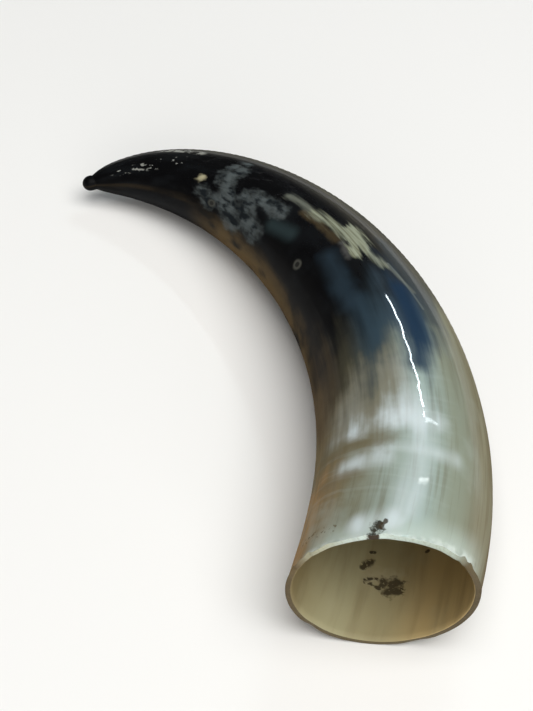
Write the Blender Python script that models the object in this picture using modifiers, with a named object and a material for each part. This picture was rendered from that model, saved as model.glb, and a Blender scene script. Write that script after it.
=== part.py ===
"""Bull horn: one polished keratin sheath, sawn off at its base, lying on its side."""

import math

import bpy
from mathutils import Matrix, Vector

# Driving dimensions, in metres. A share is a distance along the body, 0 at the mouth and 1 at its end.
BODY_LENGTH = 0.2866
BASE_RADIUS = 0.0326
HEIGHT_TO_WIDTH = 0.955
TAPER_POWER = 1.94
TAPER_ROUNDNESS = 0.574
MOUTH_PINCH = 0.0008
PINCH_REACH = 0.018

# How the centre line turns, seen from above, in degrees. The hook gathers near the tip.
START_HEADING = 67.8
STEADY_TURN = 85.0
HOOK_TURN = 45.7
HOOK_POWER = 6.0

# The underside lies on the ground up to this share, and the rest runs straight on and lifts clear.
# Its slope is read over a short step of share to either side.
GROUND_SHARE = 0.68
SLOPE_STEP = 0.002

# The small knob left at the tip, behind a slight neck.
NECK_RADIUS = 0.0031
KNOB_RADIUS = 0.0034
KNOB_HALF_LENGTH = 0.0036

# The saw cut at the mouth leans back on the outer side of the curve and a little at the top.
SAW_YAW = 15.4
SAW_PITCH = 4.9
SAW_ALLOWANCE = 0.018
SAW_BLOCK = 0.1

# The hollow that the bony core filled: thin wall at the mouth, solid beyond the hollow's end.
RIM_WALL = 0.0021
HOLLOW_SHARE = 0.63
HOLLOW_POWER = 2.4
HOLLOW_ROUNDNESS = 0.8

# Mesh density
SIDES = 40
OUTER_RINGS = 56
HOLLOW_RINGS = 26
SAWN_RINGS = 3
KNOB_RINGS = 5
RING_CROWDING = 1.5
PATH_POINTS = 121
WELD_DISTANCE = 0.00002

SHEATH_COLOUR = (0.035, 0.032, 0.028, 1.0)
SHEATH_ROUGHNESS = 0.22


def clear_scene():
    for item in list(bpy.data.objects):
        bpy.data.objects.remove(item, do_unlink=True)


def new_collection(name):
    collection = bpy.data.collections.new(name)
    bpy.context.scene.collection.children.link(collection)
    return collection


def outer_radius(share):
    """Half the width of the body. A share below 0 is the stretch that the saw takes off."""
    on_body = min(max(share, 0.0), 1.0)
    taper = BASE_RADIUS * (1.0 - on_body ** TAPER_POWER) ** TAPER_ROUNDNESS
    return taper - MOUTH_PINCH * math.exp(-share * BODY_LENGTH / PINCH_REACH)


def hollow_radius(share):
    """Radius of the conical hollow, down to nothing at the hollow's end."""
    depth = min(max(share, 0.0) / HOLLOW_SHARE, 1.0)
    mouth_radius = outer_radius(min(share, 0.0)) - RIM_WALL
    return mouth_radius * (1.0 - depth ** HOLLOW_POWER) ** HOLLOW_ROUNDNESS


def neck_share():
    """Where the tapering body has shrunk to the neck behind the knob."""
    left = 1.0 - (NECK_RADIUS / BASE_RADIUS) ** (1.0 / TAPER_ROUNDNESS)
    return left ** (1.0 / TAPER_POWER)


def knob_centre():
    """Distance from the mouth to the middle of the knob."""
    back = KNOB_HALF_LENGTH * math.sqrt(1.0 - (NECK_RADIUS / KNOB_RADIUS) ** 2)
    return neck_share() * BODY_LENGTH + back


def heading(share):
    """Direction of the centre line seen from above, in radians."""
    hook = HOOK_TURN * min(share, 1.0) ** HOOK_POWER
    return math.radians(START_HEADING + STEADY_TURN * share + hook)


def underside_slope(share):
    """How fast the half height shrinks along the body."""
    fall = outer_radius(share + SLOPE_STEP) - outer_radius(share - SLOPE_STEP)
    return HEIGHT_TO_WIDTH * fall / (2.0 * SLOPE_STEP * BODY_LENGTH)


def centre_height(share):
    """Height of the centre line: the half height while the underside lies on the ground."""
    on_ground = min(share, GROUND_SHARE)
    slope = underside_slope(on_ground)
    half_height = HEIGHT_TO_WIDTH * outer_radius(on_ground) * math.cos(math.atan(slope))
    return half_height + slope * (share - on_ground) * BODY_LENGTH


def centre_points():
    """Points along the centre line, from the mouth to the end of the knob."""
    end_share = (knob_centre() + KNOB_HALF_LENGTH) / BODY_LENGTH
    step = end_share / (PATH_POINTS - 1)
    plan = Vector((0.0, 0.0))
    points = [Vector((0.0, 0.0, centre_height(0.0)))]
    for index in range(1, PATH_POINTS):
        share = index * step
        rise = centre_height(share) - centre_height(share - step)
        run = math.sqrt((step * BODY_LENGTH) ** 2 - rise ** 2)
        turn = heading(share - step / 2.0)
        plan += run * Vector((math.cos(turn), math.sin(turn)))
        points.append(Vector((plan.x, plan.y, centre_height(share))))
    return points


def build_centre_line(collection, parent):
    """The curve that the straight turned body is bent along."""
    curve = bpy.data.curves.new("centre_line", "CURVE")
    curve.dimensions = "3D"
    curve.twist_mode = "Z_UP"
    points = centre_points()
    spline = curve.splines.new("POLY")
    spline.points.add(len(points) - 1)
    for slot, point in zip(spline.points, points):
        slot.co = (*point, 1.0)
    guide = bpy.data.objects.new("centre_line", curve)
    guide.hide_render = True
    guide.display_type = "WIRE"
    guide.parent = parent
    collection.objects.link(guide)
    return guide


def sheath_profile():
    """Profile of the straight sheath: tip, outer side, mouth end, then up the inside of the hollow."""
    profile = [(knob_centre() + KNOB_HALF_LENGTH, 0.0)]
    neck_angle = math.pi - math.asin(NECK_RADIUS / KNOB_RADIUS)
    for index in range(1, KNOB_RINGS + 1):
        angle = neck_angle * index / KNOB_RINGS
        station = knob_centre() + KNOB_HALF_LENGTH * math.cos(angle)
        profile.append((station, KNOB_RADIUS * math.sin(angle)))
    for index in range(1, OUTER_RINGS + 1):
        share = neck_share() * (1.0 - (index / OUTER_RINGS) ** RING_CROWDING)
        profile.append((share * BODY_LENGTH, outer_radius(share)))
    sawn_stations = [-SAW_ALLOWANCE * index / SAWN_RINGS for index in range(1, SAWN_RINGS + 1)]
    for station in sawn_stations:
        profile.append((station, outer_radius(station / BODY_LENGTH)))
    for station in reversed(sawn_stations):
        profile.append((station, hollow_radius(station / BODY_LENGTH)))
    for index in range(HOLLOW_RINGS + 1):
        share = HOLLOW_SHARE * (1.0 - (1.0 - index / HOLLOW_RINGS) ** RING_CROWDING)
        profile.append((share * BODY_LENGTH, hollow_radius(share)))
    return profile


def turned_mesh():
    """The straight sheath, turned about X and pressed slightly flat."""
    profile = sheath_profile()
    line = bpy.data.meshes.new("sheath_profile")
    corners = [(station, radius, 0.0) for station, radius in profile]
    line.from_pydata(corners, [(index, index + 1) for index in range(len(corners) - 1)], [])
    blank = bpy.data.objects.new("sheath_profile", line)
    bpy.context.scene.collection.objects.link(blank)
    screw = blank.modifiers.new("turn", "SCREW")
    screw.axis = "X"
    screw.steps = SIDES
    screw.render_steps = SIDES
    screw.use_merge_vertices = True
    screw.merge_threshold = WELD_DISTANCE
    bpy.context.view_layer.update()
    turned = blank.evaluated_get(bpy.context.evaluated_depsgraph_get())
    mesh = bpy.data.meshes.new_from_object(turned)
    bpy.data.objects.remove(blank, do_unlink=True)
    mesh.transform(Matrix.Diagonal((1.0, 1.0, HEIGHT_TO_WIDTH, 1.0)))
    return mesh


def build_saw_block(collection, parent):
    """The block that the saw takes away, its face on the plane of the mouth."""
    along = Vector((math.cos(heading(0.0)), math.sin(heading(0.0)), 0.0))
    up = Vector((0.0, 0.0, 1.0))
    outer_side = along.cross(up)
    lean = math.tan(math.radians(SAW_YAW)) * outer_side + math.tan(math.radians(SAW_PITCH)) * up
    into_horn = (along - lean).normalized()
    bpy.ops.mesh.primitive_cube_add(size=SAW_BLOCK)
    block = bpy.context.object
    block.name = "saw_block"
    for owner in list(block.users_collection):
        owner.objects.unlink(block)
    collection.objects.link(block)
    block.parent = parent
    block.rotation_mode = "QUATERNION"
    block.rotation_quaternion = into_horn.to_track_quat("X", "Z")
    block.location = Vector((0.0, 0.0, centre_height(0.0))) - into_horn * SAW_BLOCK / 2.0
    block.hide_render = True
    block.display_type = "WIRE"
    return block


def sheath_material():
    material = bpy.data.materials.new("dark_keratin")
    material.use_nodes = True
    shader = material.node_tree.nodes["Principled BSDF"]
    shader.inputs["Base Color"].default_value = SHEATH_COLOUR
    shader.inputs["Roughness"].default_value = SHEATH_ROUGHNESS
    shader.inputs["Metallic"].default_value = 0.0
    return material


def build_horn(collection, parent, centre_line, saw_block):
    """The sheath, bent along its centre line and sawn off at the mouth."""
    mesh = turned_mesh()
    mesh.name = "horn"
    mesh.shade_smooth()
    mesh.materials.append(sheath_material())
    horn = bpy.data.objects.new("horn", mesh)
    horn.parent = parent
    collection.objects.link(horn)
    bend = horn.modifiers.new("bend", "CURVE")
    bend.object = centre_line
    bend.deform_axis = "POS_X"
    saw = horn.modifiers.new("saw", "BOOLEAN")
    saw.operation = "DIFFERENCE"
    saw.solver = "EXACT"
    saw.object = saw_block
    return horn


def stand_over_origin(frame, horn):
    """Move the whole build so that the bottom centre of the horn's box is at the origin."""
    bpy.context.view_layer.update()
    finished = horn.evaluated_get(bpy.context.evaluated_depsgraph_get())
    corners = [vertex.co for vertex in finished.data.vertices]
    low = Vector([min(corner[axis] for corner in corners) for axis in range(3)])
    high = Vector([max(corner[axis] for corner in corners) for axis in range(3)])
    middle = (low + high) / 2.0
    frame.location = (-middle.x, -middle.y, -low.z)
    bpy.context.view_layer.update()


def main():
    clear_scene()
    parts = new_collection("bull_horn")
    guides = new_collection("guides_and_cutters")
    frame = bpy.data.objects.new("resting_frame", None)
    parts.objects.link(frame)
    centre_line = build_centre_line(guides, frame)
    saw_block = build_saw_block(guides, frame)
    horn = build_horn(parts, frame, centre_line, saw_block)
    stand_over_origin(frame, horn)


main()
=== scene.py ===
import math

import bpy
import numpy as np
from mathutils import Matrix, Quaternion, Vector


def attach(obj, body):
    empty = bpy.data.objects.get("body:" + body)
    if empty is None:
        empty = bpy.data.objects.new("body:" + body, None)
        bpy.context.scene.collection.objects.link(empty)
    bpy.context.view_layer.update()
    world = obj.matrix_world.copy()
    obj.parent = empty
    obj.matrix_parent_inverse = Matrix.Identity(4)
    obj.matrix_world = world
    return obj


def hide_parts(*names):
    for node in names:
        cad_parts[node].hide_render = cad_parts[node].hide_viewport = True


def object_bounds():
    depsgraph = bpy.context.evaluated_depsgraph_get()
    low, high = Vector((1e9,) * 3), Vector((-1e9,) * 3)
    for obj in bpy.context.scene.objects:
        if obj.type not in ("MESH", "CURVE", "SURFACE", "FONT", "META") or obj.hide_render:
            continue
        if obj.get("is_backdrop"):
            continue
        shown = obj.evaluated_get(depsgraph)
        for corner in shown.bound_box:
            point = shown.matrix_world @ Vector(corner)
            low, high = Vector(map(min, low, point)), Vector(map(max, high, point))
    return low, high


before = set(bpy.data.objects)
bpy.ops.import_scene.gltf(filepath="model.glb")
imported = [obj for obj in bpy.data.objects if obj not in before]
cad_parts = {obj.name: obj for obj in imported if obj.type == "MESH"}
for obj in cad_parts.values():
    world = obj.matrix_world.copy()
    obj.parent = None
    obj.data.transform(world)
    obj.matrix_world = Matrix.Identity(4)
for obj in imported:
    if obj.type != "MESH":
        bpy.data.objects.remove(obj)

# The surface that the horn lies on: one wide round sheet of plain pale card, laid flat.
# It runs far past the view on every side, and the polish mirrors it.
CARD_RADIUS = 1.7
CARD_CORNERS = 128
CARD_COLOUR = (0.86, 0.86, 0.85, 1.0)
CARD_ROUGHNESS = 0.9
CARD_SPECULAR = 0.1

bpy.ops.mesh.primitive_circle_add(vertices=CARD_CORNERS, radius=CARD_RADIUS, fill_type="NGON")
card = bpy.context.object
card.name = "card_floor"
card_material = bpy.data.materials.new("pale_card")
card_material.use_nodes = True
card_shader = card_material.node_tree.nodes["Principled BSDF"]
card_shader.inputs["Base Color"].default_value = CARD_COLOUR
card_shader.inputs["Roughness"].default_value = CARD_ROUGHNESS
card_shader.inputs["Specular IOR Level"].default_value = CARD_SPECULAR
card.data.materials.append(card_material)
card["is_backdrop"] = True

# The camera: the photograph looks down at 63 degrees from half a metre, with the horn right of its middle.
# The same standpoint is kept, turned by the shortest way towards the horn, with a longer lens.
STANDPOINT = Vector((-0.0551, -0.3593, 0.4455))
PITCH_DOWN = math.radians(63.0)
FOCAL_PIXELS = 1440.0
FRAME_HEIGHT_PIXELS = 711.0
SENSOR = 36.0
NEAREST_SEEN = 0.01
AIM = Vector((-0.002, -0.002, 0.022))

camera_data = bpy.data.cameras.new("camera")
camera_data.sensor_width = SENSOR
camera_data.lens = SENSOR * FOCAL_PIXELS / FRAME_HEIGHT_PIXELS
camera_data.clip_start = NEAREST_SEEN
camera = bpy.data.objects.new("camera", camera_data)
bpy.context.scene.collection.objects.link(camera)
level_turn = Quaternion((1.0, 0.0, 0.0), math.pi / 2.0 - PITCH_DOWN)
old_view = level_turn @ Vector((0.0, 0.0, -1.0))
new_view = (AIM - STANDPOINT).normalized()
camera.rotation_mode = "QUATERNION"
camera.rotation_quaternion = old_view.rotation_difference(new_view) @ level_turn
camera.location = STANDPOINT
bpy.context.scene.camera = camera
bpy.context.scene.view_settings.view_transform = "Standard"

# The studio light: a wide soft box overhead and a little to the right, and a low wide fill in front.
# A slim tube behind the horn draws the long crisp line, with a thin strip for the foot of that line and
# another for the dash below it. A faint blue window beside them cools the polish.
ROOM_COLOUR = (0.95, 0.97, 1.0, 1.0)
ROOM_LIGHT = 0.06
ROOM_SEEN = 0.80


def add_soft_light(name, start, finish, width, power, colour):
    """An oblong light from start to finish, in metres, that shines back at the horn."""
    middle = (Vector(start) + Vector(finish)) / 2.0
    length = (Vector(finish) - Vector(start)).length
    back = middle.normalized()
    across = back.cross(Vector(finish) - Vector(start)).normalized()
    along = across.cross(back)
    data = bpy.data.lights.new(name, "AREA")
    data.shape = "RECTANGLE"
    data.size = length
    data.size_y = width
    data.energy = power
    data.color = colour
    light = bpy.data.objects.new(name, data)
    bpy.context.scene.collection.objects.link(light)
    turn = Matrix((along, across, back)).transposed().to_4x4()
    light.matrix_world = Matrix.Translation(middle) @ turn


add_soft_light("overhead_box", (-0.75, -0.40, 1.85), (1.35, -0.40, 1.85), 1.6, 43.0, (1.0, 0.985, 0.96))
add_soft_light("front_fill", (-1.20, -2.0, 0.75), (1.40, -2.0, 0.75), 1.4, 22.0, (1.0, 0.98, 0.95))
add_soft_light("tube", (0.58, 1.00, 1.14), (0.25, 1.28, 0.99), 0.036, 2.0, (0.80, 0.94, 1.0))
add_soft_light("tube_foot", (0.60, 0.975, 1.135), (0.90, 0.925, 0.985), 0.016, 0.20, (0.85, 0.95, 1.0))
add_soft_light("far_lamp", (0.54, 0.785, 1.290), (0.78, 0.738, 1.244), 0.009, 0.12, (0.97, 1.0, 1.0))
add_soft_light("blue_window", (1.05, 1.05, 1.00), (0.58, 1.55, 0.55), 0.60, 0.3, (0.25, 0.52, 1.0))

# The room gives little light of its own, but stands pale behind the card where the camera sees it.
world = bpy.data.worlds.new("room")
world.use_nodes = True
world_light = world.node_tree.nodes["Background"]
world_light.inputs["Color"].default_value = ROOM_COLOUR
world_seen = world.node_tree.nodes.new("ShaderNodeLightPath")
world_strength = world.node_tree.nodes.new("ShaderNodeMapRange")
world_strength.inputs["To Min"].default_value = ROOM_LIGHT
world_strength.inputs["To Max"].default_value = ROOM_SEEN
world.node_tree.links.new(world_seen.outputs["Is Camera Ray"], world_strength.inputs["Value"])
world.node_tree.links.new(world_strength.outputs["Result"], world_light.inputs["Strength"])
bpy.context.scene.world = world

# The horn: one sheath of keratin that grew over a bony core, sawn off at its base and polished.
# It is drawn as rings square to a turning centre line: tip, outer skin, sawn rim, then the hollow.
# Sizes are in metres. A share is a distance along the body, 0 at the mouth and 1 at its end.
BODY_LENGTH = 0.2866
BASE_RADIUS = 0.0326
HEIGHT_TO_WIDTH = 0.955
TAPER_POWER = 1.94
TAPER_ROUNDNESS = 0.574
MOUTH_PINCH = 0.0008
PINCH_REACH = 0.018

# How the centre line turns, seen from above, in degrees, and up to which share it lies on the surface.
START_HEADING = 67.8
STEADY_TURN = 85.0
HOOK_TURN = 45.7
HOOK_POWER = 6.0
GROUND_SHARE = 0.68

# The saw cut at the mouth: its lean in degrees, and the shares between which it lies. The centre line
# starts a little outside it. Then the sawn wall, its rounded edges, and the hollow behind it.
SAW_YAW = 15.4
SAW_PITCH = 4.9
PATH_START = -0.06
SAW_LEAST = PATH_START + 0.01
SAW_MOST = 0.05
RIM_WALL = 0.0021
RIM_ROUNDING = 0.0003
ROUNDING_LEAN = 0.3
HOLLOW_SHARE = 0.63
HOLLOW_POWER = 2.4
HOLLOW_ROUNDNESS = 0.8

# The knob at the tip. The notch behind it is deepest NOTCH_AWAY degrees round, and filled opposite that.
NECK_RADIUS = 0.0031
KNOB_RADIUS = 0.0034
KNOB_HALF_LENGTH = 0.0036
NOTCH_AWAY = 60.0

# Mesh density: how many sides and rings, how strongly the outer rings crowd towards the tip and the inner
# ones towards the hollow's end, and how finely the centre line, its slope and the saw cut are worked out.
AROUND = 216
KNOB_RINGS = 14
OUTER_RINGS = 280
OUTER_CROWDING = 1.25
HOLLOW_RINGS = 96
HOLLOW_CROWDING = 1.35
ROUNDING_STEPS = (0.35, 1.0)
RIM_STEPS = (0.33, 0.67, 1.0)
PATH_STEPS = 4000
SLOPE_STEP = 0.002
DIRECTION_STEP = 0.0015
SAW_HALVINGS = 24

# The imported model's box, read while nothing stands in for it.
cad_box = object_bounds()


def outer_radius(share):
    """Half the width of the body."""
    on_body = np.clip(share, 0.0, 1.0)
    taper = BASE_RADIUS * (1.0 - on_body ** TAPER_POWER) ** TAPER_ROUNDNESS
    return taper - MOUTH_PINCH * np.exp(-share * BODY_LENGTH / PINCH_REACH)


def hollow_radius(share):
    """Half the width of the hollow, down to nothing at its end."""
    depth = np.clip(share / HOLLOW_SHARE, 0.0, 1.0)
    mouth_radius = outer_radius(np.minimum(share, 0.0)) - RIM_WALL
    return mouth_radius * (1.0 - depth ** HOLLOW_POWER) ** HOLLOW_ROUNDNESS


def centre_height(share):
    """Height of the centre line: the half height on the ground, then straight on to the tip."""
    on_ground = np.minimum(share, GROUND_SHARE)
    fall = outer_radius(on_ground + SLOPE_STEP) - outer_radius(on_ground - SLOPE_STEP)
    slope = HEIGHT_TO_WIDTH * fall / (2.0 * SLOPE_STEP * BODY_LENGTH)
    half_height = HEIGHT_TO_WIDTH * outer_radius(on_ground) * np.cos(np.arctan(slope))
    return half_height + slope * (share - on_ground) * BODY_LENGTH


neck_share = (1.0 - (NECK_RADIUS / BASE_RADIUS) ** (1.0 / TAPER_ROUNDNESS)) ** (1.0 / TAPER_POWER)
neck_back = KNOB_HALF_LENGTH * math.sqrt(1.0 - (NECK_RADIUS / KNOB_RADIUS) ** 2)
knob_share = neck_share + neck_back / BODY_LENGTH
end_share = knob_share + KNOB_HALF_LENGTH / BODY_LENGTH

path_share = np.linspace(PATH_START, end_share, PATH_STEPS)
path_middle = np.clip((path_share[1:] + path_share[:-1]) / 2.0, 0.0, None)
path_hook = HOOK_TURN * np.minimum(path_middle, 1.0) ** HOOK_POWER
path_heading = np.radians(START_HEADING + STEADY_TURN * path_middle + path_hook)
path_height = centre_height(path_share)
path_run = np.sqrt((np.diff(path_share) * BODY_LENGTH) ** 2 - np.diff(path_height) ** 2)
path_x = np.concatenate([[0.0], np.cumsum(path_run * np.cos(path_heading))])
path_y = np.concatenate([[0.0], np.cumsum(path_run * np.sin(path_heading))])
path_x -= np.interp(0.0, path_share, path_x)
path_y -= np.interp(0.0, path_share, path_y)


def centre_at(share):
    """The point of the centre line at a share."""
    columns = [np.interp(share, path_share, column) for column in (path_x, path_y, path_height)]
    return np.stack(columns, -1)


def skin_point(share, angle, radius):
    """A point of the horn, from its share along, its angle round from the outer side, and its radius."""
    along = centre_at(share + DIRECTION_STEP) - centre_at(share - DIRECTION_STEP)
    along /= np.linalg.norm(along, axis=-1, keepdims=True)
    side = np.cross(along, [0.0, 0.0, 1.0])
    side /= np.linalg.norm(side, axis=-1, keepdims=True)
    up = np.cross(side, along)
    across = np.cos(angle)[..., None] * side + HEIGHT_TO_WIDTH * np.sin(angle)[..., None] * up
    return centre_at(share) + radius[..., None] * across


def sawn_share(angle, radius):
    """Where the plane of the saw cut meets the skin at each angle, found by halving."""
    way = math.radians(START_HEADING)
    along = np.array([math.cos(way), math.sin(way), 0.0])
    side = np.array([math.sin(way), -math.cos(way), 0.0])
    up = np.array([0.0, 0.0, 1.0])
    lean = math.tan(math.radians(SAW_YAW)) * side + math.tan(math.radians(SAW_PITCH)) * up
    low = np.full_like(angle, SAW_LEAST)
    high = np.full_like(angle, SAW_MOST)
    mouth = centre_at(0.0)
    for _ in range(SAW_HALVINGS):
        middle = (low + high) / 2.0
        beyond = (skin_point(middle, angle, radius) - mouth) @ (along - lean) > 0.0
        high = np.where(beyond, middle, high)
        low = np.where(beyond, low, middle)
    return (low + high) / 2.0


# The saw left a slightly ragged edge, with small chips: angle round the rim in degrees, width, and depth.
# The fine rag is the sum of many waves round the rim. The inner edge has a third of chips and rag.
RIM_CHIPS = [
    (97.0, 5.0, 0.0009), (108.0, 3.0, 0.0006), (131.0, 4.0, 0.0005), (147.0, 2.6, 0.0015),
    (154.0, 3.0, 0.0008), (164.0, 2.6, 0.0014), (62.0, 4.0, 0.0004), (45.0, 2.6, 0.0013),
    (38.0, 2.4, 0.0010), (12.0, 6.0, 0.0006), (-60.0, 7.0, 0.0006), (-130.0, 6.0, 0.0007)]
RAG_SEED = 11
RAG_WAVES = range(3, 40)
RAG_DEPTH = 0.00007
RAG_PHASE = 6.28
RAG_FALL = 0.7
INNER_RAG = 0.3

angle_row = np.radians(np.arange(AROUND) * 360.0 / AROUND)
rng = np.random.default_rng(RAG_SEED)
rag = np.zeros(AROUND)
for waves in RAG_WAVES:
    rag += rng.normal() * np.cos(waves * angle_row + rng.uniform(0.0, RAG_PHASE)) / waves ** RAG_FALL
rim_rag = RAG_DEPTH * np.abs(rag)
for chip_angle, chip_width, chip_depth in RIM_CHIPS:
    away = (np.degrees(angle_row) - chip_angle + 180.0) % 360.0 - 180.0
    rim_rag += chip_depth * np.exp(-(away / chip_width) ** 2)

# The notch behind the knob shows above and outside only: underneath, the knob runs straight into the body.
notch_filled = 0.5 - 0.5 * np.cos(angle_row - math.radians(NOTCH_AWAY))


def fill_notch(radius):
    """The radius behind the knob, with the notch filled where it doesn't show."""
    return radius + notch_filled * np.clip(KNOB_RADIUS - radius, 0.0, None)


# The rings from the tip to the hollow's end: the share and radius all round, and 1 on the outer skin.
rows = []
knob_turn = math.pi - math.asin(NECK_RADIUS / KNOB_RADIUS)
for step in range(1, KNOB_RINGS + 1):
    turn = knob_turn * step / KNOB_RINGS
    ring_share = knob_share + KNOB_HALF_LENGTH / BODY_LENGTH * math.cos(turn)
    radius = np.full(AROUND, KNOB_RADIUS * math.sin(turn))
    if turn > math.pi / 2.0:
        radius = fill_notch(radius)
    rows.append((np.full(AROUND, ring_share), radius, 1.0))
rounding_share = RIM_ROUNDING / BODY_LENGTH
outer_edge = sawn_share(angle_row, np.full(AROUND, outer_radius(0.0))) + rim_rag / BODY_LENGTH
inner_edge = sawn_share(angle_row, np.full(AROUND, hollow_radius(0.0))) + INNER_RAG * rim_rag / BODY_LENGTH
outer_start = outer_edge + rounding_share
inner_start = inner_edge + rounding_share
for step in range(1, OUTER_RINGS + 1):
    part = 1.0 - (step / OUTER_RINGS) ** OUTER_CROWDING
    ring_share = outer_start + (neck_share - outer_start) * part
    rows.append((ring_share, fill_notch(outer_radius(ring_share)), 1.0))
for inward in ROUNDING_STEPS:
    ring_share = outer_edge + rounding_share * (1.0 - inward) * ROUNDING_LEAN
    rows.append((ring_share, outer_radius(outer_edge) - RIM_ROUNDING * inward, 0.0))
outer_lip = outer_radius(outer_edge) - RIM_ROUNDING
inner_lip = hollow_radius(inner_edge) + RIM_ROUNDING
for across in RIM_STEPS:
    ring_share = outer_edge + (inner_edge - outer_edge) * across
    rows.append((ring_share, outer_lip + (inner_lip - outer_lip) * across, 0.0))
for step in range(HOLLOW_RINGS):
    part = 1.0 - (1.0 - step / HOLLOW_RINGS) ** HOLLOW_CROWDING
    ring_share = inner_start + (HOLLOW_SHARE - inner_start) * part
    rows.append((ring_share, hollow_radius(ring_share), 0.0))

grid_share = np.array([row[0] for row in rows])
grid_radius = np.array([row[1] for row in rows])
grid_outside = np.repeat(np.array([row[2] for row in rows])[:, None], AROUND, axis=1)
grid_angle = np.broadcast_to(angle_row, grid_share.shape)
grid_points = skin_point(grid_share, grid_angle, grid_radius)
points = np.vstack([grid_points.reshape(-1, 3), centre_at(end_share), centre_at(HOLLOW_SHARE)])

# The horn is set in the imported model's box: level with its low side along X, and in the middle along Y.
low_corner = points.min(axis=0)
high_corner = points.max(axis=0)
cad_middle = (Vector(cad_box[0]) + Vector(cad_box[1])) / 2.0
points[:, 0] += cad_box[0][0] - low_corner[0]
points[:, 1] += cad_middle.y - (low_corner[1] + high_corner[1]) / 2.0

ring_count = len(rows)
index = np.arange(ring_count * AROUND).reshape(ring_count, AROUND)
after = np.roll(index, -1, axis=1)
quads = np.stack([index[:-1], after[:-1], after[1:], index[1:]], -1).reshape(-1, 4)
tip_index = ring_count * AROUND
hollow_index = tip_index + 1
faces = [tuple(quad) for quad in quads.tolist()]
faces += [(tip_index, b, a) for a, b in zip(index[0].tolist(), after[0].tolist())]
faces += [(hollow_index, a, b) for a, b in zip(index[-1].tolist(), after[-1].tolist())]

horn_mesh = bpy.data.meshes.new("bull_horn")
horn_mesh.from_pydata(points.tolist(), [], faces)
horn_mesh.shade_smooth()

# Each corner keeps its place on the straightened horn, so that grain and marks follow the growth:
# the cosine and sine of its angle round, and its share. The two closing points lie on the centre line.
flat_share = np.append(grid_share.ravel(), [end_share, HOLLOW_SHARE])
flat_angle = np.append(grid_angle.ravel(), [0.0, 0.0])
flat_ring = np.append(np.ones(tip_index), [0.0, 0.0])
grown = np.stack([flat_ring * np.cos(flat_angle), flat_ring * np.sin(flat_angle), flat_share], -1)
growth_record = horn_mesh.attributes.new("growth", "FLOAT_VECTOR", "POINT")
growth_record.data.foreach_set("vector", grown.astype(np.float32).ravel())
on_skin = np.append(grid_outside.ravel(), [1.0, 0.0])
outside_record = horn_mesh.attributes.new("outside", "FLOAT", "POINT")
outside_record.data.foreach_set("value", on_skin.astype(np.float32))

horn = bpy.data.objects.new("bull_horn", horn_mesh)
bpy.context.scene.collection.objects.link(horn)


def put(tree, kind, feeds=(), out=0, **settings):
    """Adds a node, sets it up, feeds its inputs with values or sockets, and gives back one output."""
    node = tree.nodes.new(kind)
    for name, value in settings.items():
        setattr(node, name, value)
    for slot, value in (feeds.items() if isinstance(feeds, dict) else enumerate(feeds)):
        if isinstance(value, bpy.types.NodeSocket):
            tree.links.new(value, node.inputs[slot])
        else:
            node.inputs[slot].default_value = value
    return node.outputs[out]


def sums(tree, operation, *feeds, clamp=False):
    """One step of arithmetic."""
    return put(tree, "ShaderNodeMath", feeds, operation=operation, use_clamp=clamp)


def product(tree, first, *others):
    """The first value multiplied by each of the others, which for masks keeps where they all hold."""
    for other in others:
        first = sums(tree, "MULTIPLY", first, other)
    return first


def vectors(tree, operation, *feeds, out=0):
    """One step of arithmetic with vectors."""
    return put(tree, "ShaderNodeVectorMath", feeds, out, operation=operation)


def fade(tree, value, low, high):
    """0 below low and 1 above high, with a soft step between. Low may be the higher number."""
    return put(tree, "ShaderNodeMapRange", {0: value, 1: low, 2: high}, interpolation_type="SMOOTHSTEP")


def split(tree, vector):
    """The three parts of a vector."""
    return [put(tree, "ShaderNodeSeparateXYZ", [vector], part) for part in range(3)]


def noise_texture(tree, dimensions, feeds):
    """A noise texture of so many dimensions."""
    return put(tree, "ShaderNodeTexNoise", feeds, noise_dimensions=dimensions)


def paint(red, green, blue):
    """A colour as the eye names it, 0 to 255, in the shader's linear light."""
    linear = [((value / 255.0 + 0.055) / 1.055) ** 2.4 if value > 10 else value / 255.0 / 12.92
              for value in (red, green, blue)]
    return (*linear, 1.0)


def new_group(name, inputs, outputs):
    """A node group with these sockets, and its input and output nodes."""
    group = bpy.data.node_groups.new(name, "ShaderNodeTree")
    kinds = {"value": "NodeSocketFloat", "vector": "NodeSocketVector"}
    for way, sockets in (("INPUT", inputs), ("OUTPUT", outputs)):
        for socket_name, kind in sockets:
            group.interface.new_socket(socket_name, in_out=way, socket_type=kinds[kind])
    return group, group.nodes.new("NodeGroupInput"), group.nodes.new("NodeGroupOutput")


def use_group(tree, group, feeds, out=0):
    """Places a node group, feeds its inputs, and gives back one output."""
    node = tree.nodes.new("ShaderNodeGroup")
    node.node_tree = group
    for name, value in feeds.items():
        if isinstance(value, bpy.types.NodeSocket):
            tree.links.new(value, node.inputs[name])
        else:
            node.inputs[name].default_value = value
    return node.outputs[out]


# Where a spot is on the straightened horn. Angles are in degrees round from the outer side of the curve,
# with the top at 90. Angle jumps from 270 to -90 at the underside. The hollow shows its lower wall, so it
# has Low Angle instead, which jumps from 180 to -180 at the inner side.
place_group, _, place_out = new_group(
    "growth place", [],
    [("Share", "value"), ("Angle", "value"), ("Low Angle", "value"), ("Grain", "vector")])
growth = put(place_group, "ShaderNodeAttribute", out=1, attribute_name="growth")
growth_x, growth_y, growth_share = split(place_group, growth)
low_angle = sums(place_group, "DEGREES", sums(place_group, "ARCTAN2", growth_y, growth_x))
whole_angle = sums(place_group, "WRAP", low_angle, 270.0, -90.0)
place_group.links.new(growth_share, place_out.inputs["Share"])
place_group.links.new(whole_angle, place_out.inputs["Angle"])
place_group.links.new(growth, place_out.inputs["Grain"])
place_group.links.new(low_angle, place_out.inputs["Low Angle"])

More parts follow.
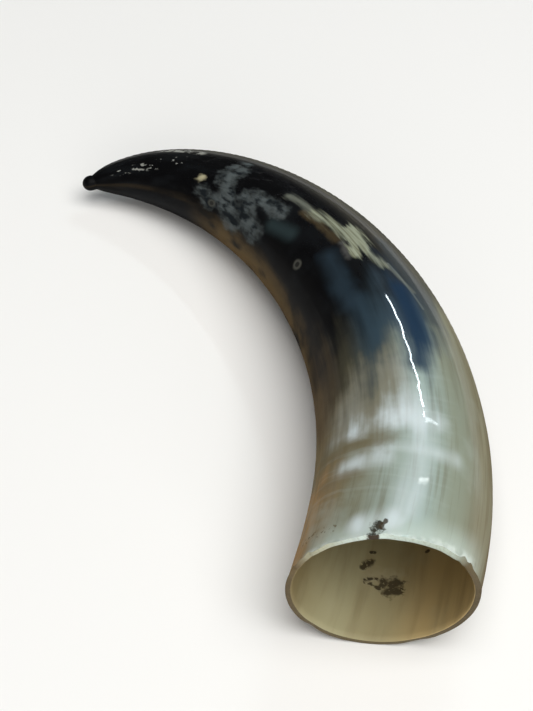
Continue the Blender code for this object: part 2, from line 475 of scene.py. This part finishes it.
# Streaks of the grain. A small Length draws them out along the horn, and a large one breaks them up.
streak_group, streak_in, streak_out = new_group(
    "grain streaks",
    [("Grain", "vector"), ("Fineness", "value"), ("Length", "value"), ("Detail", "value"),
     ("Seed", "value")],
    [("Value", "value")])
stretch = put(streak_group, "ShaderNodeCombineXYZ", {0: 1.0, 1: 1.0, 2: streak_in.outputs["Length"]})
streaks = noise_texture(streak_group, "4D", {
    "Vector": vectors(streak_group, "MULTIPLY", streak_in.outputs["Grain"], stretch),
    "W": streak_in.outputs["Seed"], "Scale": streak_in.outputs["Fineness"],
    "Detail": streak_in.outputs["Detail"]})
streak_group.links.new(streaks, streak_out.inputs["Value"])

# A mark that runs from one place to another on the skin, laid out flat in millimetres, with a ragged edge.
# The whole share is 286.6 mm along, and a degree is taken as half a millimetre round.
MARK_SCALE = (286.6, 0.5, 0.0)
LEAST_LINE = 0.0001
mark_group, mark_in, mark_out = new_group(
    "growth mark",
    [("Share", "value"), ("Angle", "value"), ("From", "vector"), ("To", "vector"), ("Width", "value"),
     ("Rag", "value"), ("Noise", "value"), ("Softness", "value")],
    [("Mask", "value")])
mark_place = put(mark_group, "ShaderNodeCombineXYZ", [mark_in.outputs["Share"], mark_in.outputs["Angle"]])
mark_here = vectors(mark_group, "MULTIPLY", mark_place, MARK_SCALE)
mark_start = vectors(mark_group, "MULTIPLY", mark_in.outputs["From"], MARK_SCALE)
mark_finish = vectors(mark_group, "MULTIPLY", mark_in.outputs["To"], MARK_SCALE)
mark_away = vectors(mark_group, "SUBTRACT", mark_here, mark_start)
mark_line = vectors(mark_group, "SUBTRACT", mark_finish, mark_start)
mark_dot = vectors(mark_group, "DOT_PRODUCT", mark_away, mark_line, out=1)
mark_square = vectors(mark_group, "DOT_PRODUCT", mark_line, mark_line, out=1)
mark_least = sums(mark_group, "MAXIMUM", mark_square, LEAST_LINE)
mark_part = sums(mark_group, "DIVIDE", mark_dot, mark_least, clamp=True)
mark_step = put(mark_group, "ShaderNodeVectorMath", {0: mark_line, "Scale": mark_part}, operation="SCALE")
mark_gap = vectors(mark_group, "SUBTRACT", mark_away, mark_step)
mark_far = vectors(mark_group, "LENGTH", mark_gap, out=1)
mark_noise = sums(mark_group, "SUBTRACT", mark_in.outputs["Noise"], 0.5)
mark_edge = sums(mark_group, "MULTIPLY_ADD", mark_noise, mark_in.outputs["Rag"], mark_far)
mark_firm = sums(mark_group, "SUBTRACT", 1.0, mark_in.outputs["Softness"])
mark_core = sums(mark_group, "MULTIPLY", mark_in.outputs["Width"], mark_firm)
mark_mask = fade(mark_group, mark_edge, mark_in.outputs["Width"], mark_core)
mark_group.links.new(mark_mask, mark_out.inputs["Mask"])


def blend(tree, mask, under, over, amount=1.0):
    """The colour over laid on the colour under where the mask says, by the amount."""
    part = mask if amount == 1.0 else sums(tree, "MULTIPLY", mask, amount)
    return put(tree, "ShaderNodeMix", {0: part, 6: under, 7: over}, 2, data_type="RGBA")


def ramp(tree, value, stops):
    """A colour that goes softly from stop to stop along the value."""
    first, last = stops[0][0], stops[-1][0]
    along = put(tree, "ShaderNodeMapRange", {0: value, 1: first, 2: last})
    node = tree.nodes.new("ShaderNodeValToRGB")
    node.color_ramp.interpolation = "EASE"
    elements = node.color_ramp.elements
    for stop, colour in stops[1:-1]:
        elements.new((stop - first) / (last - first)).color = colour
    elements[0].color = stops[0][1]
    elements[len(elements) - 1].color = stops[-1][1]
    tree.links.new(along, node.inputs[0])
    return node.outputs[0]


def streak(tree, grain, fineness, length, detail, seed):
    """Grain streaks on one material."""
    return use_group(tree, streak_group, {"Grain": grain, "Fineness": fineness, "Length": length,
                                          "Detail": detail, "Seed": seed})


def new_material(name):
    """A material, its tree and its shader."""
    material = bpy.data.materials.new(name)
    material.use_nodes = True
    return material, material.node_tree, material.node_tree.nodes["Principled BSDF"]


def marker(tree, share, angle):
    """The function that draws marks on one material. A place is a share and an angle, and a width is in mm."""

    def mark(start, finish, width, rag=0.0, noise=0.5, softness=0.5):
        return use_group(tree, mark_group, {
            "Share": share, "Angle": angle, "From": (*start, 0.0), "To": (*finish, 0.0), "Width": width,
            "Rag": rag, "Noise": noise, "Softness": softness})

    return mark


def lay_marks(tree, mark, surface, marks):
    """Lays marks on a colour in turn. Each has its own numbers for mark, its colour and its strength."""
    for numbers, colour, strength in marks:
        surface = blend(tree, mark(*numbers), surface, paint(*colour), strength)
    return surface


# The polished outside: greenish cream at the mouth with milky rings and a painted bluish-white sheen on top,
# then a cloudy blue-grey front into the dark half. The inner side of the curve is brown, partly painted warm
# reflection and painted shade, the outer side a grey tan that goes on towards the tip.
polished_horn, skin, skin_shader = new_material("polished_horn")
share = use_group(skin, place_group, {}, "Share")
angle = use_group(skin, place_group, {}, "Angle")
grain = use_group(skin, place_group, {}, "Grain")
mark = marker(skin, share, angle)
fine = streak(skin, grain, 24.0, 0.5, 3.0, 1.0)
broad = streak(skin, grain, 3.6, 1.3, 3.0, 2.0)
cloud = streak(skin, grain, 2.6, 7.0, 4.0, 3.0)
crumb = streak(skin, grain, 8.0, 9.0, 5.0, 4.0)
long_streak = streak(skin, grain, 9.0, 0.9, 3.0, 17.0)

# The ramp round the horn paints a bluish-white sheen on the top, from about 62 to 105 degrees, as painted
# reflection of a cool light, and its orange brown on the inner side, from 144 to 225 degrees, is partly
# painted warm reflection.
cream_and_sheen = ramp(skin, angle, [
    (-90.0, paint(120, 112, 88)), (0.0, paint(104, 90, 64)), (34.0, paint(122, 116, 92)),
    (62.0, paint(136, 144, 128)), (85.0, paint(152, 170, 164)), (105.0, paint(144, 156, 146)),
    (124.0, paint(126, 126, 106)), (144.0, paint(130, 112, 78)), (165.0, paint(172, 134, 86)),
    (192.0, paint(158, 128, 88)), (225.0, paint(116, 96, 68)), (270.0, paint(120, 112, 88))])
clouded = product(skin, fade(skin, cloud, 0.42, 0.66), fade(skin, angle, 22.0, 66.0))
cream_and_sheen = blend(skin, clouded, cream_and_sheen, paint(168, 182, 174), 0.35)
streaked = product(skin, fade(skin, long_streak, 0.44, 0.62), fade(skin, angle, 60.0, 26.0))
cream_and_sheen = blend(skin, streaked, cream_and_sheen, paint(150, 150, 128), 0.40)
cream_and_sheen = blend(skin, fade(skin, fine, 0.48, 0.72), cream_and_sheen, paint(100, 95, 74), 0.36)
cream_and_sheen = blend(skin, fade(skin, broad, 0.50, 0.70), cream_and_sheen, paint(104, 99, 76), 0.38)

# The band beside the sawn edge is paler, partly in its own colour and partly as a painted bluish-white sheen,
# and bruised white right at the edge.
SAWN_PLANE = (-0.0306, -0.0091, 1.0)
from_rim = vectors(skin, "DOT_PRODUCT", grain, SAWN_PLANE, out=1)
mouth_band_and_sheen = product(skin, fade(skin, from_rim, 0.042, 0.002), fade(skin, angle, 156.0, 126.0),
                     fade(skin, angle, 12.0, 58.0))
cream_and_sheen = blend(skin, mouth_band_and_sheen, cream_and_sheen, paint(192, 207, 199), 0.65)
edge_white = product(skin, fade(skin, from_rim, 0.013, 0.002), fade(skin, crumb, 0.36, 0.58),
                     fade(skin, angle, 24.0, 48.0), fade(skin, angle, 164.0, 142.0))
cream_and_sheen = blend(skin, edge_white, cream_and_sheen, paint(216, 226, 220), 0.75)

# Faint growth rings, then the milky arcs: where each starts and finishes, its width and its strength. Two of
# them are
# painted sheen, not milky keratin: the long band from share 0.05 to 0.16 near 88 degrees, and the short one by
# the rim.
MILKY_ARCS_AND_SHEEN = [
    ((0.166, 150.0), (0.180, 78.0), 6.5, 0.90), ((0.192, 130.0), (0.196, 92.0), 11.0, 0.80),
    ((0.205, 132.0), (0.262, 116.0), 17.0, 0.85), ((0.112, 134.0), (0.120, 108.0), 6.5, 0.75),
    ((0.136, 112.0), (0.136, 64.0), 5.0, 0.45), ((0.205, 100.0), (0.230, 96.0), 8.0, 0.40),
    ((0.050, 90.0), (0.160, 86.0), 7.0, 0.60), ((0.185, 114.0), (0.188, 97.0), 6.0, 0.90),
    ((0.020, 114.0), (0.034, 96.0), 6.0, 0.80)]
ring_place = sums(skin, "MULTIPLY", sums(skin, "MULTIPLY_ADD", cloud, 0.018, share), 95.0)
ring_lines = noise_texture(skin, "1D", {"W": ring_place, "Scale": 1.0, "Detail": 1.0})
ringed = product(skin, fade(skin, ring_lines, 0.48, 0.72), fade(skin, share, 0.32, 0.20),
                 fade(skin, share, 0.04, 0.10), fade(skin, angle, 56.0, 78.0))
cream_and_sheen = blend(skin, ringed, cream_and_sheen, paint(178, 192, 186), 0.16)
arc_wear = sums(skin, "MULTIPLY_ADD", fade(skin, broad, 0.62, 0.40), 0.6, 0.4)
for arc_start, arc_finish, arc_width, arc_strength in MILKY_ARCS_AND_SHEEN:
    arc = product(skin, mark(arc_start, arc_finish, arc_width, 7.0, cloud, 1.0), arc_wear)
    cream_and_sheen = blend(skin, arc, cream_and_sheen, paint(206, 218, 221), arc_strength)
cream_and_sheen = lay_marks(skin, mark, cream_and_sheen, [
    (((0.143, 156.0), (0.149, 112.0), 8.0, 9.0, crumb, 1.0), (104, 92, 66), 0.60),
    (((0.092, 154.0), (0.096, 126.0), 5.0, 6.0, crumb, 1.0), (112, 100, 74), 0.55)])

# The front between cream and dark: the share where it lies at each angle, pushed about by the streaks.
FRONT_SHARES = (
    (-90.0, 0.30), (0.0, 0.43), (40.0, 0.44), (60.0, 0.36), (80.0, 0.28), (100.0, 0.295), (120.0, 0.275),
    (140.0, 0.225), (165.0, 0.21), (200.0, 0.25), (270.0, 0.30))
front_place = ramp(skin, angle, [(stop, (value, value, value, 1.0)) for stop, value in FRONT_SHARES])
front = sums(skin, "SUBTRACT", share, front_place)
for noise, push in ((broad, 0.22), (cloud, 0.14), (fine, 0.05)):
    front = sums(skin, "MULTIPLY_ADD", sums(skin, "SUBTRACT", noise, 0.5), push, front)
middle_tone = ramp(skin, angle, [
    (-90.0, paint(66, 60, 46)), (30.0, paint(88, 86, 74)), (55.0, paint(82, 88, 86)),
    (75.0, paint(48, 66, 80)), (112.0, paint(52, 66, 73)), (135.0, paint(60, 58, 46)),
    (150.0, paint(66, 56, 39)), (172.0, paint(92, 76, 52)), (200.0, paint(96, 76, 50)),
    (270.0, paint(66, 60, 46))])
dark = blend(skin, fade(skin, cloud, 0.42, 0.70), paint(4, 4, 5), paint(14, 16, 18))
tan_edge = product(skin, fade(skin, front, -0.14, -0.05), fade(skin, angle, 86.0, 106.0))
surface = blend(skin, tan_edge, cream_and_sheen, paint(108, 101, 76), 0.8)
surface = blend(skin, fade(skin, front, -0.065, 0.045), surface, middle_tone)
surface = blend(skin, fade(skin, front, 0.03, 0.17), surface, dark)

# The brown inner side of the curve: its own brown, partly painted warm reflection, darkened as painted shade,
# with a paler edge as painted bounce light from the card. Then the grey tan outer side with its long bare
# streaks.
inner_angle = sums(skin, "MULTIPLY_ADD", broad, 34.0, angle)
inner_side = product(skin, fade(skin, inner_angle, 166.0, 190.0), fade(skin, angle, 262.0, 225.0))
inner_brown_shade_and_bounce = blend(skin, fade(skin, cloud, 0.36, 0.62), paint(26, 21, 12), paint(70, 56, 32))
inner_bounce_light = product(skin, fade(skin, angle, 164.0, 188.0), fade(skin, cloud, 0.34, 0.56))
inner_brown_shade_and_bounce = blend(skin, inner_bounce_light, inner_brown_shade_and_bounce, paint(114, 93, 59), 0.50)
inner_long = product(skin, inner_side, fade(skin, share, 0.28, 0.42))
surface = blend(skin, inner_long, surface, inner_brown_shade_and_bounce, 0.9)
surface = blend(skin, product(skin, fade(skin, share, 0.71, 0.83), inner_side), surface, dark)
outer_angle = sums(skin, "MULTIPLY_ADD", broad, 14.0, angle)
outer_bare = product(skin, fade(skin, long_streak, 0.58, 0.46), fade(skin, angle, 52.0, 24.0))
outer_side = product(skin, fade(skin, outer_angle, 90.0, 60.0), fade(skin, share, 0.36, 0.46),
                     fade(skin, share, 0.97, 0.80), sums(skin, "MULTIPLY_ADD", outer_bare, -0.75, 1.0))
outer_grey = blend(skin, fade(skin, fine, 0.40, 0.62), paint(70, 68, 59), paint(94, 91, 78))
surface = blend(skin, outer_side, surface, outer_grey, 0.9)

# In turn: a grey-blue and a navy patch beside the long highlight, both painted reflection of a cool window,
# three smoky patches in the dark half, a hairline, and the brown stain and the grey bruise beside the ivory
# splash.
surface = lay_marks(skin, mark, surface, [
    (((0.350, 61.0), (0.500, 62.0), 5.5, 4.0, broad, 1.0), (46, 57, 64), 0.6),
    (((0.272, 84.0), (0.405, 77.0), 7.5, 7.0, long_streak, 1.0), (21, 44, 66), 0.9),
    (((0.320, 108.0), (0.400, 112.0), 8.0, 6.0, broad, 1.0), (48, 66, 78), 0.7),
    (((0.400, 118.0), (0.500, 114.0), 8.0, 12.0, cloud, 1.0), (38, 52, 62), 0.8),
    (((0.585, 126.0), (0.625, 132.0), 6.5, 3.0, cloud, 0.95), (42, 54, 56), 0.85),
    (((0.369, 66.0), (0.455, 74.0), 0.7, 0.4, fine, 0.6), (110, 118, 116), 0.5),
    (((0.524, 100.0), (0.600, 103.0), 3.2, 4.5, crumb, 0.8), (62, 53, 37), 0.9),
    (((0.484, 101.0), (0.512, 98.0), 2.8, 3.5, crumb, 1.0), (92, 92, 90), 0.6)])

# The ivory splash: grey at both its ends, with a tail towards the tip and a point towards the mouth.
splash_noise = streak(skin, grain, 13.0, 1.7, 3.0, 15.0)
ivory = blend(skin, fade(skin, fine, 0.40, 0.64), paint(152, 158, 138), paint(112, 114, 92))
surface = lay_marks(skin, mark, surface, [
    (((0.575, 96.0), (0.645, 97.5), 3.5, 6.0, splash_noise, 1.0), (112, 116, 106), 0.8),
    (((0.400, 67.0), (0.468, 80.0), 1.5, 2.5, splash_noise, 1.0), (112, 116, 106), 0.6)])
splash_point = mark((0.452, 79.0), (0.492, 85.0), 3.4, 6.0, splash_noise, 1.0)
splash_tail = mark((0.520, 89.0), (0.590, 96.0), 3.8, 8.0, splash_noise, 1.0)
splash = sums(skin, "MAXIMUM", mark((0.488, 85.0), (0.530, 82.0), 5.5, 13.0, splash_noise, 1.0),
              mark((0.486, 94.0), (0.520, 84.0), 5.0, 13.0, splash_noise, 1.0))
surface = blend(skin, splash_point, surface, ivory, 0.75)
surface = blend(skin, splash_tail, surface, ivory, 0.9)
surface = blend(skin, fade(skin, splash, 0.0, 0.90), surface, ivory)

# The flaked stretch, drawn as soft grey strokes where layers lifted: start, finish and width of each.
# A cream spot and two healed pits lie beside it.
FLAKES = [
    ((0.630, 116.0), (0.685, 118.0), 6.5), ((0.655, 150.0), (0.700, 140.0), 9.0),
    ((0.705, 160.0), (0.745, 138.0), 9.5), ((0.722, 142.0), (0.760, 112.0), 6.5),
    ((0.745, 94.0), (0.762, 110.0), 6.0), ((0.768, 152.0), (0.792, 140.0), 6.5),
    ((0.752, 82.0), (0.766, 96.0), 3.8), ((0.690, 128.0), (0.712, 126.0), 6.5)]
PITS = [((0.530, 140.0), 0.8), ((0.765, 150.0), 0.6)]
lifted = streak(skin, grain, 7.0, 8.0, 4.0, 16.0)
flaked = 0.0
for flake in FLAKES:
    flaked = sums(skin, "MAXIMUM", flaked, mark(*flake, 13.0, lifted, 0.9))
flake_fold = streak(skin, grain, 5.0, 6.5, 4.0, 12.0)
# The paler grey of the flakes and of their edges is partly painted highlight on the lifted layers.
flake_tone_and_glints = blend(skin, fade(skin, flake_fold, 0.42, 0.58), paint(84, 91, 92), paint(24, 29, 32))
flake_tone_and_glints = blend(skin, fade(skin, fine, 0.48, 0.66), flake_tone_and_glints, paint(22, 25, 27), 0.18)
flake_edge = product(skin, fade(skin, flaked, 0.10, 0.45), fade(skin, flaked, 0.98, 0.60))
flake_tone_and_glints = blend(skin, flake_edge, flake_tone_and_glints, paint(92, 98, 97), 0.30)
surface = blend(skin, flaked, surface, flake_tone_and_glints, 0.85)
surface = lay_marks(skin, mark, surface, [
    (((0.802, 121.0), (0.805, 124.0), 3.2, 6.0, crumb, 1.0), (168, 162, 132), 0.95)])
for pit, pit_strength in PITS:
    surface = lay_marks(skin, mark, surface, [
        ((pit, pit, 3.1, 0.9, crumb, 0.45), (78, 78, 72), pit_strength),
        ((pit, pit, 1.7, 0.6, crumb, 0.5), (14, 14, 14), pit_strength)])

# Pale specks near the tip, and a row of larger pale flecks along its upper edge that are painted reflection of
# the bright surroundings.
tip_crumb = streak(skin, grain, 7.0, 14.0, 3.0, 7.0)
specks = product(skin, fade(skin, tip_crumb, 0.58, 0.63),
                 mark((0.850, 100.0), (0.945, 118.0), 7.0, 0.0, 0.5, 0.6))
surface = blend(skin, specks, surface, paint(150, 152, 146), 0.75)
reflection_flecks = product(skin, fade(skin, tip_crumb, 0.46, 0.54),
                 mark((0.830, 76.0), (0.885, 66.0), 4.0, 0.0, 0.5, 0.7))
surface = blend(skin, reflection_flecks, surface, paint(170, 172, 164), 0.8)

# The dark stain that crosses the rim with its thin upper end, and brown crumbs along the edge.
stain_crumb = streak(skin, grain, 22.0, 9.0, 4.0, 5.0)
surface = lay_marks(skin, mark, surface, [
    (((-0.010, 105.0), (0.021, 103.0), 2.3, 7.0, stain_crumb, 0.7), (40, 35, 24), 0.95),
    (((0.020, 101.0), (0.029, 99.0), 0.9, 1.6, stain_crumb, 0.5), (60, 50, 36), 0.9)])
edge_crumbs = product(skin, fade(skin, stain_crumb, 0.56, 0.62),
                      mark((0.006, 158.0), (0.017, 128.0), 2.6, 0.0, 0.5, 0.6))
surface = blend(skin, edge_crumbs, surface, paint(96, 82, 56), 0.7)
skin.links.new(surface, skin_shader.inputs["Base Color"])

# The polish is high on top and duller on both sides of the curve, on the knob and where layers flaked off.
# Layer Weight takes the gloss off where the surface is seen from the side.
facing = put(skin, "ShaderNodeLayerWeight", {"Blend": 0.5}, 1)
dull_side = sums(skin, "MAXIMUM", fade(skin, angle, 118.0, 150.0), fade(skin, angle, 62.0, 34.0))
dull_side = sums(skin, "MAXIMUM", dull_side, fade(skin, share, 0.960, 0.985))
polish = sums(skin, "MULTIPLY_ADD", cloud, 0.12, 0.24)
for dulling, strength in ((flaked, 0.30), (fade(skin, facing, 0.45, 0.85), 0.30), (dull_side, 0.25)):
    polish = sums(skin, "MULTIPLY_ADD", dulling, strength, polish)
skin.links.new(polish, skin_shader.inputs["Roughness"])
gloss = product(skin, fade(skin, facing, 0.80, 0.50), sums(skin, "SUBTRACT", 1.0, flaked),
                sums(skin, "MULTIPLY_ADD", dull_side, -0.97, 1.0))
skin.links.new(gloss, skin_shader.inputs["Coat Weight"])
flake_height = product(skin, crumb, flaked)
bump_height = sums(skin, "MULTIPLY_ADD", flake_height, 3.0, product(skin, fine, 0.30))
bump = put(skin, "ShaderNodeBump", {"Height": bump_height, "Strength": 0.12, "Distance": 0.0002})
skin.links.new(bump, skin_shader.inputs["Normal"])
skin_shader.inputs["Specular IOR Level"].default_value = 0.07
skin_shader.inputs["Coat Roughness"].default_value = 0.04
skin_shader.inputs["Coat IOR"].default_value = 1.42
skin_shader.inputs["Subsurface Weight"].default_value = 0.04
skin_shader.inputs["Subsurface Radius"].default_value = (0.0035, 0.0022, 0.0012)
skin_shader.inputs["Subsurface Scale"].default_value = 1.0

# The sawn rim: raw, pale on top, and darker brown round the sides and bottom as painted shade, slightly
# fibrous where the blade went through.
sawn_rim, rim, rim_shader = new_material("sawn_rim")
angle = use_group(rim, place_group, {}, "Angle")
mark = marker(rim, use_group(rim, place_group, {}, "Share"), angle)
rim_grain = streak(rim, use_group(rim, place_group, {}, "Grain"), 30.0, 30.0, 4.0, 6.0)
rim_colour_and_shade = ramp(rim, angle, [
    (-90.0, paint(90, 79, 54)), (0.0, paint(78, 66, 44)), (36.0, paint(92, 80, 55)),
    (56.0, paint(176, 188, 174)), (110.0, paint(196, 210, 202)), (140.0, paint(170, 170, 146)),
    (162.0, paint(100, 84, 56)), (180.0, paint(82, 69, 45)), (270.0, paint(90, 79, 54))])
rim_colour_and_shade = blend(rim, fade(rim, rim_grain, 0.45, 0.65), rim_colour_and_shade, paint(120, 108, 78), 0.22)
rim_colour_and_shade = lay_marks(rim, mark, rim_colour_and_shade, [
    (((-0.030, 104.0), (0.010, 104.0), 2.2, 3.0, rim_grain, 0.4), (54, 42, 28), 1.0)])
rim.links.new(rim_colour_and_shade, rim_shader.inputs["Base Color"])
rim_shader.inputs["Roughness"].default_value = 0.62
rim_shader.inputs["Specular IOR Level"].default_value = 0.30
rim_bump = put(rim, "ShaderNodeBump", {"Height": rim_grain, "Strength": 0.35, "Distance": 0.0002})
rim.links.new(rim_bump, rim_shader.inputs["Normal"])

# The hollow: the dull inside that lay on the core, olive tan with faint lengthwise streaks.
# A dark flaky stain with a paler halo lies on its lower wall, and a few loose spots round it.
raw_hollow, inside, inside_shader = new_material("raw_hollow")
share = use_group(inside, place_group, {}, "Share")
angle = use_group(inside, place_group, {}, "Low Angle")
grain = use_group(inside, place_group, {}, "Grain")
mark = marker(inside, share, angle)
inside_streak = streak(inside, grain, 6.0, 1.0, 4.0, 8.0)
inside_cloud = streak(inside, grain, 2.6, 6.0, 3.0, 10.0)
inside_crumb = streak(inside, grain, 13.0, 10.0, 2.0, 11.0)
inside_holes = streak(inside, grain, 17.0, 13.0, 2.0, 13.0)
# Round the hollow the colour stands for light and shade: lightest on the outer and upper walls, brightened
# there as painted light against the hollow's own shade, and darker on the inner side. Below, it also turns
# darker deeper in.
hollow_colour_and_light = ramp(inside, angle, [
    (-180.0, paint(128, 114, 78)), (-118.0, paint(158, 153, 120)), (-88.0, paint(150, 141, 106)),
    (-52.0, paint(170, 149, 104)), (-10.0, paint(184, 160, 112)), (60.0, paint(200, 178, 128)),
    (180.0, paint(128, 114, 78))])
for mask, tone, strength in (
        (fade(inside, inside_streak, 0.44, 0.70), (112, 98, 66), 0.36),
        (fade(inside, inside_cloud, 0.50, 0.74), (164, 158, 126), 0.30),
        (fade(inside, share, 0.24, 0.62), (128, 108, 74), 0.9),
        (mark((0.080, -98.0), (0.086, -84.0), 6.0, 8.0, inside_crumb, 1.0), (176, 168, 140), 0.35)):
    hollow_colour_and_light = blend(inside, mask, hollow_colour_and_light, paint(*tone), strength)

# The stain and its loose spots: where each starts and finishes, its width and how ragged it is.
HOLLOW_SPOTS = [
    ((0.064, -86.0), (0.070, -79.0), 3.3, 7.0), ((0.089, -107.5), (0.103, -101.5), 1.7, 2.5),
    ((0.070, -103.0), (0.066, -93.0), 1.0, 3.5), ((0.079, -96.0), (0.075, -101.0), 0.9, 3.5),
    ((0.126, -63.0), (0.127, -62.0), 0.9, 1.0), ((0.116, -103.0), (0.118, -100.0), 0.8, 1.2)]
hollow_stain = mark((0.074, -90.0), (0.078, -81.0), 3.4, 7.0, inside_crumb, 0.7)
for spot in HOLLOW_SPOTS:
    hollow_stain = sums(inside, "MAXIMUM", hollow_stain, mark(*spot, inside_crumb, 0.65))
stained = product(inside, hollow_stain, fade(inside, inside_holes, 0.70, 0.57))
hollow_colour_and_light = blend(inside, stained, hollow_colour_and_light, paint(46, 37, 21), 0.88)
inside.links.new(hollow_colour_and_light, inside_shader.inputs["Base Color"])
inside_shader.inputs["Roughness"].default_value = 0.60
inside_shader.inputs["Specular IOR Level"].default_value = 0.25
inside_height = sums(inside, "MULTIPLY_ADD", hollow_stain, 1.5, inside_streak)
inside_bump = put(inside, "ShaderNodeBump", {"Height": inside_height, "Strength": 0.35, "Distance": 0.0003})
inside.links.new(inside_bump, inside_shader.inputs["Normal"])

# The relief that polishing left on the outside: faint growth rings near the mouth, waves along the body,
# shallow flakes lifted off two thirds of the way up, and fine ticks across the outer side of the curve.
# Depths are in metres, and the rates say how fast the rings and the ticks follow each other along it.
RELIEF_SIZES = {"Ring Depth": 0.00010, "Ring Rate": 46.0, "Wave Depth": 0.0007, "Flake Depth": 0.00045,
                "Tick Depth": 0.00010, "Tick Rate": 620.0, "Seed": 4.0}
relief = bpy.data.node_groups.new("horn_relief", "GeometryNodeTree")
relief.interface.new_socket("Geometry", in_out="INPUT", socket_type="NodeSocketGeometry")
relief_sockets = {}
for size_name in RELIEF_SIZES:
    size_socket = relief.interface.new_socket(size_name, in_out="INPUT", socket_type="NodeSocketFloat")
    relief_sockets[size_name] = size_socket.identifier
relief.interface.new_socket("Geometry", in_out="OUTPUT", socket_type="NodeSocketGeometry")
relief_in = relief.nodes.new("NodeGroupInput")
relief_out = relief.nodes.new("NodeGroupOutput")
relief_size = relief_in.outputs
place = put(relief, "GeometryNodeInputNamedAttribute", {0: "growth"}, data_type="FLOAT_VECTOR")
outside = put(relief, "GeometryNodeInputNamedAttribute", {0: "outside"}, data_type="FLOAT")
place_x, place_y, place_share = split(relief, place)
place_angle = sums(relief, "DEGREES", sums(relief, "ARCTAN2", place_y, place_x))


def relief_noise(stretch, scale, detail, shift):
    """Noise along the growth, of its own within the one seed."""
    seed = sums(relief, "ADD", relief_size["Seed"], shift)
    return noise_texture(relief, "4D", {"Vector": vectors(relief, "MULTIPLY", place, stretch), "W": seed,
                                      "Scale": scale, "Detail": detail})


wobble = relief_noise((1.0, 1.0, 3.0), 1.2, 2.0, 0.0)
groove_run = product(relief, place_share, relief_size["Ring Rate"])
groove_place = sums(relief, "ADD", groove_run, product(relief, wobble, 1.6))
grooves = noise_texture(relief, "1D", {"W": groove_place, "Scale": 1.0, "Detail": 2.0})
groove_cut = product(relief, grooves, fade(relief, place_share, 0.42, 0.15),
                     fade(relief, place_share, -0.01, 0.06), relief_size["Ring Depth"])
wave_cut = product(relief, relief_noise((1.0, 1.0, 7.0), 1.0, 2.5, 7.0), relief_size["Wave Depth"])
flake_noise = relief_noise((1.0, 1.0, 9.0), 4.2, 4.0, 13.0)
flake_cut = product(relief, fade(relief, flake_noise, 0.47, 0.53), fade(relief, place_share, 0.60, 0.68),
                    fade(relief, place_share, 0.86, 0.78), fade(relief, place_angle, 76.0, 92.0),
                    fade(relief, place_angle, 168.0, 148.0), relief_size["Flake Depth"])
tick_place = sums(relief, "ADD", place_share, product(relief, wobble, 0.02))
tick_wave = sums(relief, "SINE", product(relief, tick_place, relief_size["Tick Rate"]))
tick_cut = product(relief, sums(relief, "ADD", tick_wave, 1.0), fade(relief, place_share, 0.28, 0.4),
                   fade(relief, place_angle, 62.0, 40.0), fade(relief, place_angle, -60.0, -20.0),
                   relief_size["Tick Depth"])
cut = sums(relief, "ADD", groove_cut, wave_cut)
cut = sums(relief, "ADD", cut, sums(relief, "ADD", flake_cut, tick_cut))
cut = product(relief, cut, outside, fade(relief, place_share, 1.0, 0.93), -1.0)
outward = put(relief, "GeometryNodeInputNormal")
inward = put(relief, "ShaderNodeVectorMath", {0: outward, "Scale": cut}, operation="SCALE")
carved = put(relief, "GeometryNodeSetPosition", {"Geometry": relief_size["Geometry"], "Offset": inward})
realized = put(relief, "GeometryNodeRealizeInstances", {"Geometry": carved})
dressed = put(relief, "GeometryNodeSetMaterial", {"Geometry": realized, "Material": polished_horn})
relief.links.new(dressed, relief_out.inputs["Geometry"])

carving = horn.modifiers.new("relief", "NODES")
carving.node_group = relief
for size_name, size in RELIEF_SIZES.items():
    carving[relief_sockets[size_name]] = size
bpy.context.view_layer.update()
carved_mesh = bpy.data.meshes.new_from_object(horn.evaluated_get(bpy.context.evaluated_depsgraph_get()))
horn.modifiers.clear()
horn.data = carved_mesh
carved_mesh.name = "bull_horn"

# The tree gave the whole horn its polish. The bands of the sawn face and of the hollow get their own finish.
carved_mesh.materials.append(sawn_rim)
carved_mesh.materials.append(raw_hollow)
rim_band = KNOB_RINGS + OUTER_RINGS
hollow_band = rim_band + len(ROUNDING_STEPS) + len(RIM_STEPS) - 1
band_slot = np.zeros(ring_count - 1, np.int32)
band_slot[rim_band:hollow_band] = 1
band_slot[hollow_band:] = 2
tip_slot = np.zeros(AROUND, np.int32)
end_slot = np.full(AROUND, 2, np.int32)
slots = np.concatenate([np.repeat(band_slot, AROUND), tip_slot, end_slot])
carved_mesh.polygons.foreach_set("material_index", slots)

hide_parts("horn")
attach(horn, "root")
